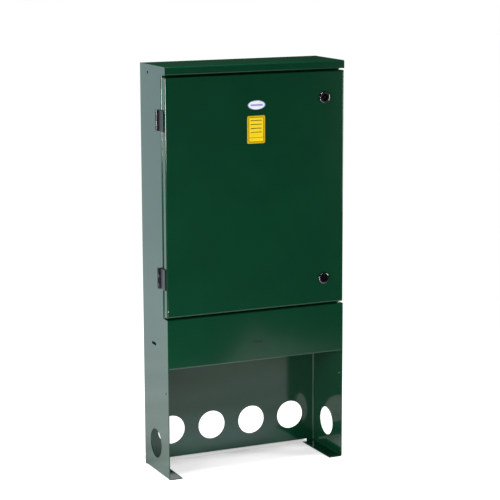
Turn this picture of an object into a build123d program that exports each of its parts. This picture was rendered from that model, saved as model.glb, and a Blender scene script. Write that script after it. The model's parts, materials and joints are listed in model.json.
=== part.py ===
from build123d import *
import os

# Street feeder pillar in folded steel sheet. The open root stands in the ground up to the marking slots,
# and the cabinet above it has one door on outside hinges with two quarter-turn locks. Millimetres, +Z up,
# door towards -Y, origin on the ground plane at the middle of the footprint.

# Cabinet shell
width = 600.0
depth = 205.0
height = 1275.0
sheet = 3.0
bend_radius = 2.0
cut_overrun = 5.0

# Door opening and lower front panel
fascia_height = 25.0
sill_height = 506.0
panel_bottom = 350.0
panel_return = 20.0
door_recess = 30.0
jamb_width = 25.0
seal_lip = 25.0
weld_gap = 0.5

# Foot flanges, returns and openings of the shell
foot_width = 45.0
foot_end_gap = 12.0
rear_return = 25.0
back_clearance = 9.0
back_top_gap = 2.0  # between the back sheet and the bend under the roof
cable_hole = 92.0
cable_hole_height = 99.0
cable_hole_from_side = 90.0
side_hole_height = 92.0
side_hole_back = 107.0
cable_holes_per_row = 4
ground_line = 412.0
slot_length = 36.0
slot_height = 9.0
side_slot_back = 113.0
lifting_hole = 10.0
lifting_hole_back = 139.0
lifting_hole_drop = 25.0
root_hole = 7.0
root_hole_back = 18.0
root_hole_height = 273.0

# Door
door_gap = 6.0
door_depth = 25.0
door_lip = 18.0
door_corner_radius = 1.5
gasket_inset = 4.0
gasket_width = 12.0
gasket_clearance = 0.3

# Hinges
hinge_height = 64.0
hinge_knuckles = 4
upper_hinge_drop = 131.0
lower_hinge_rise = 118.0
hinge_standoff = 6.0
hinge_back = 50.0
knuckle_radius = 5.3
knuckle_gap = 0.3
knuckle_end_radius = 1.2
hinge_pin_radius = 2.5
hinge_pin_clearance = 0.05
leaf_front = 7.0
leaf_sheet = 2.2
body_leaf_sheet = 1.8
leaf_gap = 0.4
leaf_edge_radius = 0.8
body_leaf_front = 36.0
leaf_screw_radius = 2.0
leaf_screw_head_radius = 3.6
leaf_screw_head = 2.2
leaf_screw_spread = 34.0
leaf_screw_depth = 2.6
leaf_screw_clearance = 0.1
body_screw_length = 9.0
body_screw_back = 41.0
body_nut_width = 7.0
body_nut_height = 3.2

# Quarter-turn locks
lock_from_edge = 69.0
lock_from_end = 81.0
lock_head_radius = 17.5
lock_head_height = 5.0
lock_head_edge = 2.5
lock_dish_radius = 11.5
lock_throat_radius = 9.0
lock_floor = 6.0
lock_body_radius = 11.0
lock_flat_width = 20.0
lock_body_length = 22.0
lock_bore_radius = 7.0
lock_hole_clearance = 0.2
lock_nut_width = 30.0
lock_nut_height = 6.0
insert_clearance = 0.08
insert_flange = 3.0
insert_drive_radius = 4.6
insert_drive_height = 7.0
insert_tail = 8.0
cam_length = 52.0
cam_width = 18.0
cam_sheet = 3.0
cam_clearance = 0.1
cam_behind_jamb = 0.8
cam_screw_radius = 2.5
cam_screw_grip = 8.0
cam_screw_head_radius = 6.5
cam_screw_head = 4.0
cam_screw_clearance = 0.1

# Earth studs on the cabinet and the door
stud_radius = 4.0
cabinet_stud_length = 32.0
door_stud_length = 18.0
stud_nut_width = 13.0
stud_nut_height = 6.5
stud_nut_clearance = 0.1
cabinet_stud_rise = 41.0
cabinet_stud_back = 62.0
door_stud_from_edge = 60.0
door_stud_from_end = 45.0

# Backboard and the channels that carry it
channel_depth = 25.0
channel_crown = 40.0
channel_foot = 15.0
channel_sheet = 2.0
channel_side_gap = 40.0
channel_inset = 60.0
board_side_gap = 60.0
board_rise = 56.0
board_drop = 53.0
board_thickness = 12.0
board_bolt_radius = 4.0
board_bolt_inset = 40.0
board_bolt_clearance = 0.3
board_bolt_head_width = 13.0
board_bolt_head = 5.5
board_bolt_flange_radius = 9.0
board_bolt_flange = 1.8
board_bolt_tail = 12.0
board_nut_height = 6.5

# Mounting rail and its switchgear
rail_height = 35.0
rail_web = 27.0
rail_depth = 7.5
rail_sheet = 1.0
rail_length = 230.0
rail_drop = 215.0
rail_screw_radius = 2.5
rail_screw_spread = 214.0
rail_screw_head_radius = 4.6
rail_screw_head = 3.0
rail_screw_length = 11.0
rail_screw_clearance = 0.15
module_width = 17.5
module_gap = 0.4
module_height = 84.0
module_depth = 46.0
module_nose_height = 45.0
module_nose_depth = 17.0
module_back = 5.0
module_edge = 1.0
module_groove_clearance = 0.3
terminal_radius = 3.2
terminal_depth = 8.0
terminal_inset = 9.0
breaker_count = 4
toggle_width = 9.0
toggle_radius = 7.0
toggle_depth = 5.5
toggle_reach = 15.0
toggle_thickness = 5.0
toggle_clearance = 0.4
toggle_travel = 70.0
toggle_pin_radius = 1.5
toggle_pin_length = 2.0
toggle_pin_clearance = 0.06
switch_module_count = 4
handle_radius = 21.0
handle_plate = 4.0
handle_grip_width = 11.0
handle_grip_height = 14.0
handle_grip_edge = 2.0
handle_shaft_radius = 4.0
handle_shaft_length = 14.0
handle_shaft_clearance = 0.08
handle_gap = 0.5

# Earth and neutral bars
bar_section = 12.0
bar_length = 150.0
bar_ways = 8
bar_drop = 190.0
bar_shift = 10.0  # from the middle of its half of the board towards the middle line
bar_edge = 0.8
bar_screw_radius = 2.5
bar_screw_depth = 5.0
bar_screw_head_radius = 4.2
bar_screw_head = 3.2
bar_screw_clearance = 0.1
bar_wire_radius = 3.0
bar_end_share = 0.09
post_radius = 9.0
post_height = 16.0

# Places that follow from the sizes above
left = -width / 2
front = -depth / 2
back = depth / 2
head_height = height - fascia_height
bend_outside = bend_radius + sheet
seal_plane = front + door_recess
door_bottom = sill_height + door_gap
door_top = head_height - door_gap
door_rear = front + door_depth
panel_inside = back - sheet - sheet
hinge_x = left - hinge_standoff
hinge_y = front + hinge_back
board_back = panel_inside - channel_depth - channel_sheet
board_front = board_back - board_thickness
board_right = width / 2 - board_side_gap
board_bottom = sill_height + board_rise
board_top = head_height - board_drop
rail_centre_height = board_top - rail_drop


def along(plane, low, high, profile):
    """Carries a profile drawn in a plane of the frame from one place to another on the third axis."""
    if plane == "XZ":
        return extrude(Plane.XZ.offset(-low) * profile, amount=low - high)
    if plane == "YZ":
        return extrude(Plane.YZ.offset(low) * profile, amount=high - low)
    return extrude(Plane.XY.offset(low) * profile, amount=high - low)


def folded(points, plane, low, high, thickness=sheet, radius=bend_radius):
    """Folded sheet: points run along one face with the metal on their left, and every corner is a bend."""
    radii = []
    for before, corner, after in zip(points, points[1:], points[2:]):
        turn = (corner[0] - before[0]) * (after[1] - corner[1])
        turn -= (corner[1] - before[1]) * (after[0] - corner[0])
        radii.append(radius + thickness if turn > 0 else radius)
    face_line = FilletPolyline(*points, radius=radii)
    profile = make_face(offset(face_line, amount=thickness, side=Side.LEFT))
    return along(plane, low, high, profile)


def block(x0, x1, y0, y1, z0, z1):
    """Rectangular block between two corners."""
    return Pos((x0 + x1) / 2, (y0 + y1) / 2, (z0 + z1) / 2) * Box(x1 - x0, y1 - y0, z1 - z0)


def rod(radius, start, axis, length):
    """Round bar from a point along an axis."""
    return Plane(origin=start, z_dir=axis) * extrude(Circle(radius), amount=length)


def hexagon(across_flats, start, axis, length):
    """Hexagon bar from a point along an axis."""
    profile = RegularPolygon(across_flats / 2, side_count=6, major_radius=False)
    return Plane(origin=start, z_dir=axis) * extrude(profile, amount=length)


def flip(part):
    """The same piece for the other side of the cabinet."""
    return mirror(part, about=Plane.YZ)


def side_wall(hinged):
    """Left wall: rear return, inturned foot, recess for the door with a jamb lip, and its holes."""
    plan = [(left + rear_return, back), (left, back), (left, front)]
    wall = folded(plan, "XY", 0, height)
    wall -= block(left + sheet, left + rear_return + cut_overrun, back - bend_outside, back + cut_overrun,
                  height - sheet, height + cut_overrun)
    foot_back = back - foot_end_gap
    foot_top = bend_outside + sheet
    wall -= block(left - cut_overrun, left + bend_outside, front - cut_overrun, foot_back,
                  -cut_overrun, foot_top)
    foot_line = [(left, foot_top + sheet), (left, 0), (left + foot_width, 0)]
    wall += folded(foot_line, "XZ", front, foot_back)
    jamb_back = seal_plane + bend_outside + sheet
    wall -= block(left - cut_overrun, left + bend_outside, front - cut_overrun, jamb_back,
                  sill_height, head_height)
    jamb_line = [(left, jamb_back + sheet), (left, seal_plane), (left + jamb_width, seal_plane)]
    wall += folded(jamb_line, "XY", sill_height, head_height)
    corner = wall.edges().filter_by(Axis.X).group_by(Axis.Z)[-1].sort_by(Axis.Y)[0]
    wall = fillet(corner, bend_outside)
    outside = left - cut_overrun
    through = sheet + cut_overrun + cut_overrun
    for radius, place, level in (
        (cable_hole / 2, front + side_hole_back, side_hole_height),
        (lifting_hole / 2, front + lifting_hole_back, height - lifting_hole_drop),
        (root_hole / 2, front + root_hole_back, root_hole_height),
    ):
        wall -= rod(radius, (outside, place, level), (1, 0, 0), through)
    slot = Pos(front + side_slot_back, ground_line) * SlotOverall(slot_length, slot_height)
    wall -= along("YZ", outside, outside + through, slot)
    for level in hinge_levels() if hinged else ():
        for screw_level in screw_levels(level):
            centre = (outside, front + body_screw_back, screw_level)
            wall -= rod(leaf_screw_radius + leaf_screw_clearance, centre, (1, 0, 0), through)
    return wall


def roof():
    """Roof tray: rear flange, flat top, fascia, soffit and the lip that the top of the door closes on."""
    line = [
        (back, height - seal_lip),
        (back, height),
        (front, height),
        (front, head_height),
        (seal_plane, head_height),
        (seal_plane, head_height - seal_lip),
    ]
    tray = folded(line, "YZ", left + sheet, -left - sheet)
    for x0, x1 in ((left, left + rear_return + weld_gap), (-left - rear_return - weld_gap, -left)):
        tray -= block(x0, x1, back - bend_outside, back + cut_overrun,
                      height - seal_lip - cut_overrun, height - sheet)
    for x0, x1 in ((left, left + jamb_width + weld_gap), (-left - jamb_width - weld_gap, -left)):
        tray -= block(x0, x1, front, seal_plane + bend_outside,
                      head_height - seal_lip - cut_overrun, head_height)
    return tray


def lower_panel():
    """Fixed panel under the door: sill, lip that the foot of the door closes on, and a stiffening return."""
    line = [
        (seal_plane, sill_height + seal_lip),
        (seal_plane, sill_height),
        (front, sill_height),
        (front, panel_bottom),
        (front + panel_return, panel_bottom),
    ]
    panel = folded(line, "YZ", left + sheet, -left - sheet)
    for x0, x1 in ((left, left + jamb_width + weld_gap), (-left - jamb_width - weld_gap, -left)):
        panel -= block(x0, x1, front, seal_plane + bend_outside,
                       sill_height, sill_height + seal_lip + cut_overrun)
    slot = Pos(0, ground_line) * SlotOverall(slot_length, slot_height)
    panel -= along("XZ", front - cut_overrun, front + sheet + cut_overrun, slot)
    return panel


def back_panel():
    """Flat back sheet, welded inside the rear returns, with a row of cable holes near its foot."""
    half = -left - sheet - bend_radius - weld_gap
    panel = block(-half, half, panel_inside, panel_inside + sheet, back_clearance,
                  height - bend_outside - back_top_gap)
    first = left + cable_hole_from_side
    pitch = (-first - first) / (cable_holes_per_row - 1)
    for i in range(cable_holes_per_row):
        centre = (first + i * pitch, panel_inside - cut_overrun, cable_hole_height)
        panel -= rod(cable_hole / 2, centre, (0, 1, 0), sheet + cut_overrun + cut_overrun)
    return panel


def lock_places():
    """Centres of the two locks on the door."""
    x = -left - lock_from_edge
    return {"upper": (x, door_top - lock_from_end), "lower": (x, door_bottom + lock_from_end)}


def lock_section(radius, flat_width):
    """Round section with two flats, the form of the lock body and of its hole."""
    return Circle(radius) & Rectangle(flat_width, radius + radius)


def door_pan():
    """Door: a pan with folded edges and an inner lip all round, holed for locks, hinge screws and stud."""
    pan = block(left, -left, front, door_rear, door_bottom, door_top)
    pan = fillet(pan.edges().filter_by(Axis.Y), door_corner_radius)
    rims = pan.faces().filter_by(Axis.Y)
    pan = fillet(rims.edges(), bend_outside)
    inside = block(left + sheet, -left - sheet, front + sheet, door_rear - sheet,
                   door_bottom + sheet, door_top - sheet)
    inside = fillet(inside.faces().filter_by(Axis.Y).edges(), bend_radius)
    pan -= inside
    x0 = left + door_lip
    pan -= block(x0, -x0, front + sheet, door_rear + cut_overrun, door_bottom + door_lip, door_top - door_lip)
    hole = lock_section(lock_body_radius + lock_hole_clearance, lock_flat_width + lock_hole_clearance)
    for x, z in lock_places().values():
        pan -= along("XZ", front - cut_overrun, front + sheet + cut_overrun, Pos(x, z) * hole)
    for level in hinge_levels():
        for screw_level in screw_levels(level):
            centre = (left - cut_overrun, door_screw_y(), screw_level)
            reach = sheet + cut_overrun + cut_overrun
            pan -= rod(leaf_screw_radius + leaf_screw_clearance, centre, (1, 0, 0), reach)
    return pan


def door_gasket():
    """Foam seal on the inner lip of the door, facing the jambs."""
    x0 = left + gasket_inset
    z0 = door_bottom + gasket_inset
    z1 = door_top - gasket_inset
    y1 = seal_plane - gasket_clearance
    ring = block(x0, -x0, door_rear, y1, z0, z1)
    x2 = x0 + gasket_width
    ring -= block(x2, -x2, door_rear - cut_overrun, y1 + cut_overrun, z0 + gasket_width, z1 - gasket_width)
    return ring


def hinge_levels():
    """Middle height of the upper and the lower hinge."""
    return door_top - upper_hinge_drop, door_bottom + lower_hinge_rise


def screw_levels(level):
    """Heights of the two screws in one hinge leaf."""
    return level - leaf_screw_spread / 2, level + leaf_screw_spread / 2


def door_screw_y():
    """Depth of the hinge screws in the door's folded edge."""
    return (front + leaf_front + door_rear) / 2


def knuckle_spans(level, door_side):
    """Height spans of the knuckles that belong to one leaf, counted from the top."""
    pitch = hinge_height / hinge_knuckles
    top = level + hinge_height / 2
    spans = []
    for i in range(hinge_knuckles):
        if (i % 2 == 1) == door_side:
            spans.append((top - (i + 1) * pitch + knuckle_gap / 2, top - i * pitch - knuckle_gap / 2))
    return spans


def knuckle_barrels(level, door_side, bore):
    """Rounded barrels of one leaf, bored for the pin."""
    barrels = []
    for low, high in knuckle_spans(level, door_side):
        barrel = rod(knuckle_radius, (hinge_x, hinge_y, low), (0, 0, 1), high - low)
        barrels.append(fillet(barrel.edges(), knuckle_end_radius / 2))
    hole = rod(bore, (hinge_x, hinge_y, level - hinge_height), (0, 0, 1), hinge_height + hinge_height)
    return [barrel - hole for barrel in barrels]


def hinge_half(level, door_side):
    """One half of a hinge: barrels on every second place, cut clear of the other half's barrels."""
    bottom = level - hinge_height / 2
    top = level + hinge_height / 2
    bore = hinge_pin_radius + hinge_pin_clearance
    if door_side:
        inner = left - body_leaf_sheet - leaf_gap
        leaf = block(inner - leaf_sheet, inner, front + leaf_front, hinge_y, bottom, top)
        leaf += block(inner - leaf_sheet, left, front + leaf_front, door_rear - bend_radius, bottom, top)
        shown = leaf.edges().filter_by(Axis.Z).group_by(Axis.X)[0].sort_by(Axis.Y)[0]
        leaf = fillet(shown, leaf_edge_radius)
    else:
        leaf = block(left - body_leaf_sheet, left, front + body_leaf_front, hinge_y, bottom, top)
    clear = knuckle_radius + knuckle_gap
    leaf -= rod(clear - knuckle_gap - knuckle_gap, (hinge_x, hinge_y, bottom), (0, 0, 1), hinge_height)
    for low, high in knuckle_spans(level, not door_side):
        gap_low = low - knuckle_gap
        gap_high = high + knuckle_gap
        leaf -= rod(clear, (hinge_x, hinge_y, gap_low), (0, 0, 1), gap_high - gap_low)
        leaf -= block(hinge_x - clear, left, hinge_y - knuckle_gap, hinge_y + clear, gap_low, gap_high)
    for barrel in knuckle_barrels(level, door_side, bore):
        leaf += barrel
    for screw_level in screw_levels(level):
        if door_side:
            start = (left + cut_overrun, door_screw_y(), screw_level)
            leaf -= rod(leaf_screw_radius, start, (-1, 0, 0), cut_overrun + leaf_screw_depth)
        else:
            start = (left - hinge_standoff, front + body_screw_back, screw_level)
            reach = hinge_standoff + cut_overrun
            leaf -= rod(leaf_screw_radius + leaf_screw_clearance, start, (1, 0, 0), reach)
            sink = Plane(origin=(left, front + body_screw_back, screw_level), z_dir=(-1, 0, 0))
            leaf -= sink * countersink(body_leaf_sheet, leaf_screw_clearance)
    return leaf


def countersink(rise, clearance):
    """Cone of a flat screw head, from its shank at the wall to its full width at a given rise."""
    cone = Cone(leaf_screw_radius + clearance, leaf_screw_head_radius + clearance, rise,
                align=(Align.CENTER, Align.CENTER, Align.MIN))
    return cone


def hinge_pin(level):
    """Steel pin through all knuckles of one hinge."""
    return rod(hinge_pin_radius, (hinge_x, hinge_y, level - hinge_height / 2), (0, 0, 1), hinge_height)


def hinge_door_screws():
    """Pan head screws from inside the door's folded edge into the door leaves."""
    screws = []
    for level in hinge_levels():
        for screw_level in screw_levels(level):
            start = (left - leaf_screw_depth, door_screw_y(), screw_level)
            shank = rod(leaf_screw_radius, start, (1, 0, 0), leaf_screw_depth + sheet)
            head = rod(leaf_screw_head_radius, (left + sheet, door_screw_y(), screw_level), (1, 0, 0),
                       leaf_screw_head)
            rim = head.edges().group_by(Axis.X)[-1]
            screws.append(shank + fillet(rim, leaf_screw_head / 2))
    return screws


def hinge_body_screws():
    """Flat head screws that hold the body leaves on the left wall, hidden under the door leaves."""
    screws = []
    for level in hinge_levels():
        for screw_level in screw_levels(level):
            face = Plane(origin=(left, front + body_screw_back, screw_level), z_dir=(-1, 0, 0))
            start = (left, front + body_screw_back, screw_level)
            screws.append(rod(leaf_screw_radius, start, (1, 0, 0), body_screw_length)
                          + face * countersink(body_leaf_sheet, 0))
    return screws


def hinge_body_nuts():
    """Nuts of those screws on the inside of the wall."""
    nuts = []
    for level in hinge_levels():
        for screw_level in screw_levels(level):
            start = (left + sheet, front + body_screw_back, screw_level)
            nut = hexagon(body_nut_width, start, (1, 0, 0), body_nut_height)
            hole = rod(leaf_screw_radius + leaf_screw_clearance, start, (1, 0, 0), body_nut_height)
            nuts.append(nut - hole)
    return nuts


def lock_housing(x, z):
    """Lock housing: rounded head with a dished mouth, and a bored body with two flats behind the door."""
    half_head = lock_head_radius - lock_head_edge
    tip = front - lock_head_height
    with BuildSketch() as outline:
        with BuildLine():
            Line((lock_dish_radius, lock_head_height), (half_head, lock_head_height))
            RadiusArc((half_head, lock_head_height), (lock_head_radius, lock_head_height - lock_head_edge),
                      lock_head_edge)
            Polyline((lock_head_radius, lock_head_height - lock_head_edge), (lock_head_radius, 0),
                     (lock_throat_radius, 0))
            Line((lock_throat_radius, 0), (lock_dish_radius, lock_head_height))
        make_face()
    head = revolve(Plane.XZ * outline.sketch, axis=Axis.Z)
    facing = Plane(origin=(x, front, z), x_dir=(1, 0, 0), z_dir=(0, -1, 0))
    head = facing * head
    shank = along("XZ", front, front + lock_body_length,
                  Pos(x, z) * lock_section(lock_body_radius, lock_flat_width))
    shank -= rod(lock_throat_radius, (x, front - cut_overrun, z), (0, 1, 0), cut_overrun + lock_floor)
    housing = head + shank
    reach = lock_head_height + lock_body_length + cut_overrun
    return housing - rod(lock_bore_radius, (x, tip, z), (0, 1, 0), reach)


def lock_nut(x, z):
    """Nut that clamps the housing to the door sheet."""
    start = (x, front + sheet, z)
    nut = hexagon(lock_nut_width, start, (0, 1, 0), lock_nut_height)
    hole = lock_section(lock_body_radius + lock_hole_clearance, lock_flat_width + lock_hole_clearance)
    return nut - along("XZ", front, front + sheet + lock_nut_height + cut_overrun, Pos(x, z) * hole)


def cam_plane():
    """Front face of the cams, just behind the jamb lip."""
    return seal_plane + sheet + cam_behind_jamb


def lock_insert(x, z):
    """Turning insert: three-sided drive in the mouth, running barrel, and a square tail for the cam."""
    drive = Plane(origin=(x, front + lock_floor - insert_flange, z), z_dir=(0, -1, 0))
    key = drive * extrude(RegularPolygon(insert_drive_radius, side_count=3), amount=insert_drive_height)
    flange_start = (x, front + lock_floor - insert_flange, z)
    flange = rod(lock_throat_radius - lock_hole_clearance, flange_start, (0, 1, 0),
                 insert_flange - insert_clearance)
    barrel_start = (x, front + lock_floor - insert_clearance, z)
    barrel = rod(lock_bore_radius - insert_clearance, barrel_start, (0, 1, 0), cam_plane() - barrel_start[1])
    tail = block(x - insert_tail / 2, x + insert_tail / 2, cam_plane(), cam_plane() + cam_sheet,
                 z - insert_tail / 2, z + insert_tail / 2)
    insert = key + flange + barrel + tail
    reach = cam_screw_grip + cam_screw_clearance
    return insert - rod(cam_screw_radius + cam_screw_clearance, (x, cam_plane() + cam_sheet, z), (0, -1, 0),
                        reach)


def lock_cam(x, z):
    """Cam in its open position, hanging below the lock, with a square hole on the insert's tail."""
    outline = SlotOverall(cam_length + cam_width / 2, cam_width, rotation=90)
    face = Pos(0, -cam_length / 2 + cam_width / 4) * outline
    hole_width = insert_tail + cam_clearance
    face -= Rectangle(hole_width, hole_width)
    return along("XZ", cam_plane(), cam_plane() + cam_sheet, Pos(x, z) * face)


def cam_screw(x, z):
    """Screw with a wide head that keeps the cam on the tail."""
    start = cam_plane() + cam_sheet
    shank = rod(cam_screw_radius, (x, start - cam_screw_grip, z), (0, 1, 0), cam_screw_grip)
    head = rod(cam_screw_head_radius, (x, start, z), (0, 1, 0), cam_screw_head)
    return shank + fillet(head.edges().group_by(Axis.Y)[-1], cam_screw_head / 2)


def stud_and_nut(origin, axis, length):
    """Welded earth stud along an axis from a sheet, and the nut that is run down on it."""
    stud = rod(stud_radius, origin, axis, length)
    nut = hexagon(stud_nut_width, origin, axis, stud_nut_height)
    return stud, nut - rod(stud_radius + stud_nut_clearance, origin, axis, stud_nut_height)


def channel(level):
    """Hat-shaped channel welded to the back sheet at a given height."""
    crown = channel_crown / 2
    line = [
        (panel_inside, level - crown - channel_foot),
        (panel_inside, level - crown),
        (panel_inside - channel_depth, level - crown),
        (panel_inside - channel_depth, level + crown),
        (panel_inside, level + crown),
        (panel_inside, level + crown + channel_foot),
    ]
    end = width / 2 - channel_side_gap
    hat = folded(line, "YZ", -end, end, thickness=channel_sheet, radius=channel_sheet)
    for x, z in bolt_places():
        hat -= rod(board_bolt_radius + board_bolt_clearance, (x, board_back - cut_overrun, z), (0, 1, 0),
                   channel_sheet + cut_overrun + cut_overrun)
    return hat


def channel_levels():
    """Heights of the lower and the upper channel."""
    return board_bottom + channel_inset, board_top - channel_inset


def bolt_places():
    """Places of the four bolts through the backboard."""
    half = board_right - board_bolt_inset
    return [(x, z) for x in (-half, half) for z in channel_levels()]


def backboard():
    """Flat insulating board that carries the switchgear."""
    board = block(-board_right, board_right, board_front, board_back, board_bottom, board_top)
    for x, z in bolt_places():
        board -= rod(board_bolt_radius + board_bolt_clearance, (x, board_front - cut_overrun, z), (0, 1, 0),
                     board_thickness + cut_overrun + cut_overrun)
    for x in (-rail_screw_spread / 2, rail_screw_spread / 2):
        board -= rod(rail_screw_radius, (x, board_front, rail_centre_height), (0, 1, 0), rail_screw_length)
    return board


def backboard_bolts():
    """Flange bolts through the board and the channels."""
    bolts = []
    for x, z in bolt_places():
        grip = board_thickness + channel_sheet + board_bolt_tail
        bolt = rod(board_bolt_radius, (x, board_front, z), (0, 1, 0), grip)
        bolt += rod(board_bolt_flange_radius, (x, board_front, z), (0, -1, 0), board_bolt_flange)
        bolt += hexagon(board_bolt_head_width, (x, board_front, z), (0, -1, 0),
                        board_bolt_flange + board_bolt_head)
        bolts.append(bolt)
    return bolts


def backboard_nuts():
    """Nuts of those bolts, behind the crowns of the channels."""
    nuts = []
    for x, z in bolt_places():
        start = (x, board_back + channel_sheet, z)
        nut = hexagon(board_bolt_head_width, start, (0, 1, 0), board_nut_height)
        nuts.append(nut - rod(board_bolt_radius + stud_nut_clearance, start, (0, 1, 0), board_nut_height))
    return nuts


def mounting_rail():
    """Top-hat rail with its two edges standing off the board."""
    edge = board_front - rail_depth + rail_sheet
    half_web = rail_web / 2
    half = rail_height / 2
    line = [
        (edge, rail_centre_height - half),
        (edge, rail_centre_height - half_web),
        (board_front, rail_centre_height - half_web),
        (board_front, rail_centre_height + half_web),
        (edge, rail_centre_height + half_web),
        (edge, rail_centre_height + half),
    ]
    rail = folded(line, "YZ", -rail_length / 2, rail_length / 2, thickness=rail_sheet, radius=rail_sheet / 2)
    for x in (-rail_screw_spread / 2, rail_screw_spread / 2):
        rail -= rod(rail_screw_radius + rail_screw_clearance,
                    (x, board_front + cut_overrun, rail_centre_height), (0, -1, 0),
                    rail_sheet + cut_overrun + cut_overrun)
    return rail


def rail_screws():
    """Pan head screws of the rail."""
    screws = []
    for x in (-rail_screw_spread / 2, rail_screw_spread / 2):
        start = (x, board_front - rail_sheet, rail_centre_height)
        shank = rod(rail_screw_radius, start, (0, 1, 0), rail_sheet + rail_screw_length)
        head = rod(rail_screw_head_radius, start, (0, -1, 0), rail_screw_head)
        screws.append(shank + fillet(head.edges().group_by(Axis.Y)[0], rail_screw_head / 2))
    return screws


def module_start(index):
    """Left face of a place on the rail, counted in module widths from the left of the row."""
    row = (breaker_count + switch_module_count) * (module_width + module_gap)
    return -row / 2 + index * (module_width + module_gap) + module_gap / 2


def module_nose():
    """Front face of the raised middle of the modules."""
    return board_front - module_back - module_depth - module_nose_depth


def module_body(index, modules):
    """Moulded case on the rail: terminal shoulders, a raised nose, and a groove for the rail."""
    x0 = module_start(index)
    x1 = module_start(index + modules) - module_gap
    rear = board_front - module_back
    shoulder = rear - module_depth
    nose = module_nose()
    half = module_height / 2
    half_nose = module_nose_height / 2
    centre = rail_centre_height
    outline = Polyline(
        (rear, centre - half),
        (shoulder, centre - half),
        (shoulder, centre - half_nose),
        (nose, centre - half_nose),
        (nose, centre + half_nose),
        (shoulder, centre + half_nose),
        (shoulder, centre + half),
        (rear, centre + half),
        close=True,
    )
    case = along("YZ", x0, x1, make_face(outline))
    case = fillet(case.edges().filter_by(Axis.X), module_edge)
    groove = rail_height / 2 + module_groove_clearance
    rail_front = board_front - rail_depth - module_groove_clearance
    case -= block(x0 - cut_overrun, x1 + cut_overrun, rail_front, board_front,
                  centre - groove, centre + groove)
    for i in range(modules):
        middle = module_start(index + i) + module_width / 2
        for level in (centre - half + terminal_inset, centre + half - terminal_inset):
            case -= rod(terminal_radius, (middle, shoulder, level), (0, 1, 0), terminal_depth)
    return case


def toggle_pivot():
    """Depth of the axis that a breaker's toggle turns on."""
    return module_nose() + toggle_depth


def breaker_case(index):
    """Circuit breaker case with the pocket and the pin holes of its toggle."""
    case = module_body(index, 1)
    middle = module_start(index) + module_width / 2
    half = toggle_width / 2 + toggle_clearance
    pivot = toggle_pivot()
    reach = toggle_radius + toggle_clearance
    case -= block(middle - half, middle + half, module_nose() - cut_overrun, pivot,
                  rail_centre_height - reach, rail_centre_height + reach)
    case -= rod(reach, (middle - half, pivot, rail_centre_height), (1, 0, 0), half + half)
    pin = toggle_width / 2 + toggle_pin_length + toggle_clearance
    hole = toggle_pin_radius + toggle_pin_clearance
    return case - rod(hole, (middle - pin, pivot, rail_centre_height), (1, 0, 0), pin + pin)


def breaker_toggle(index):
    """Toggle with its drum, two side pins and a lever, at rest in the lower position."""
    middle = module_start(index) + module_width / 2
    pivot = toggle_pivot()
    start = (middle - toggle_width / 2, pivot, rail_centre_height)
    drum = rod(toggle_radius, start, (1, 0, 0), toggle_width)
    lever = Pos(-toggle_reach / 2, 0) * Rectangle(toggle_reach, toggle_thickness)
    lever = Rot(0, 0, toggle_travel / 2) * fillet(lever.vertices().group_by(Axis.X)[0], toggle_thickness / 4)
    drum += along("YZ", start[0], start[0] + toggle_width, Pos(pivot, rail_centre_height) * lever)
    pin = toggle_width / 2 + toggle_pin_length
    return drum + rod(toggle_pin_radius, (middle - pin, pivot, rail_centre_height), (1, 0, 0), pin + pin)


def switch_middle():
    """Middle of the main switch across the row."""
    return (module_start(0) + module_start(switch_module_count) - module_gap) / 2


def main_switch_case():
    """Case of the main switch, bored for the shaft of its handle."""
    case = module_body(0, switch_module_count)
    start = (switch_middle(), module_nose() - cut_overrun, rail_centre_height)
    reach = cut_overrun + handle_shaft_length + handle_gap
    return case - rod(handle_shaft_radius + handle_shaft_clearance, start, (0, 1, 0), reach)


def main_switch_handle():
    """Turning handle: round plate, grip bar and shaft, shown in the off position."""
    x = switch_middle()
    plate_rear = module_nose() - handle_gap
    plate = rod(handle_radius, (x, plate_rear, rail_centre_height), (0, -1, 0), handle_plate)
    plate = fillet(plate.edges().group_by(Axis.Y)[0], handle_plate / 3)
    half = handle_grip_width / 2
    reach = handle_radius - handle_plate / 3
    grip_rear = plate_rear - handle_plate
    grip = block(x - reach, x + reach, grip_rear - handle_grip_height, grip_rear,
                 rail_centre_height - half, rail_centre_height + half)
    grip = fillet(grip.edges().group_by(Axis.Y)[0], handle_grip_edge)
    shaft = rod(handle_shaft_radius, (x, plate_rear, rail_centre_height), (0, 1, 0), handle_shaft_length)
    return plate + grip + shaft


def bar_places():
    """Middle of the earth bar and of the neutral bar across the board."""
    middle = board_right / 2 - bar_shift
    return {"earth": -middle, "neutral": middle}


def bar_level():
    """Height of the middle of both bars."""
    return rail_centre_height - bar_drop


def bar_way_places(middle):
    """Places of the clamp screws along one bar."""
    end = bar_length * (1 - bar_end_share - bar_end_share) / 2
    pitch = (end + end) / (bar_ways - 1)
    return [middle - end + i * pitch for i in range(bar_ways)]


def terminal_bar(middle):
    """Brass bar with a wire hole and a clamp screw hole at every way."""
    y1 = board_front - post_height
    level = bar_level()
    half = bar_length / 2
    bar = block(middle - half, middle + half, y1 - bar_section, y1,
                level - bar_section / 2, level + bar_section / 2)
    bar = chamfer(bar.edges().filter_by(Axis.X), bar_edge)
    for x in bar_way_places(middle):
        centre = (x, y1 - bar_section / 2, level - bar_section)
        bar -= rod(bar_wire_radius, centre, (0, 0, 1), bar_section + bar_section)
        hole_start = (x, y1 - bar_section, level)
        bar -= rod(bar_screw_radius + bar_screw_clearance, hole_start, (0, 1, 0), bar_section / 2)
    return bar


def bar_posts(middle):
    """Two insulating posts between a bar and the board."""
    places = bar_way_places(middle)
    ends = ((places[0] + places[1]) / 2, (places[-1] + places[-2]) / 2)
    posts = []
    for x in ends:
        posts.append(rod(post_radius, (x, board_front, bar_level()), (0, -1, 0), post_height))
    return posts


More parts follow.
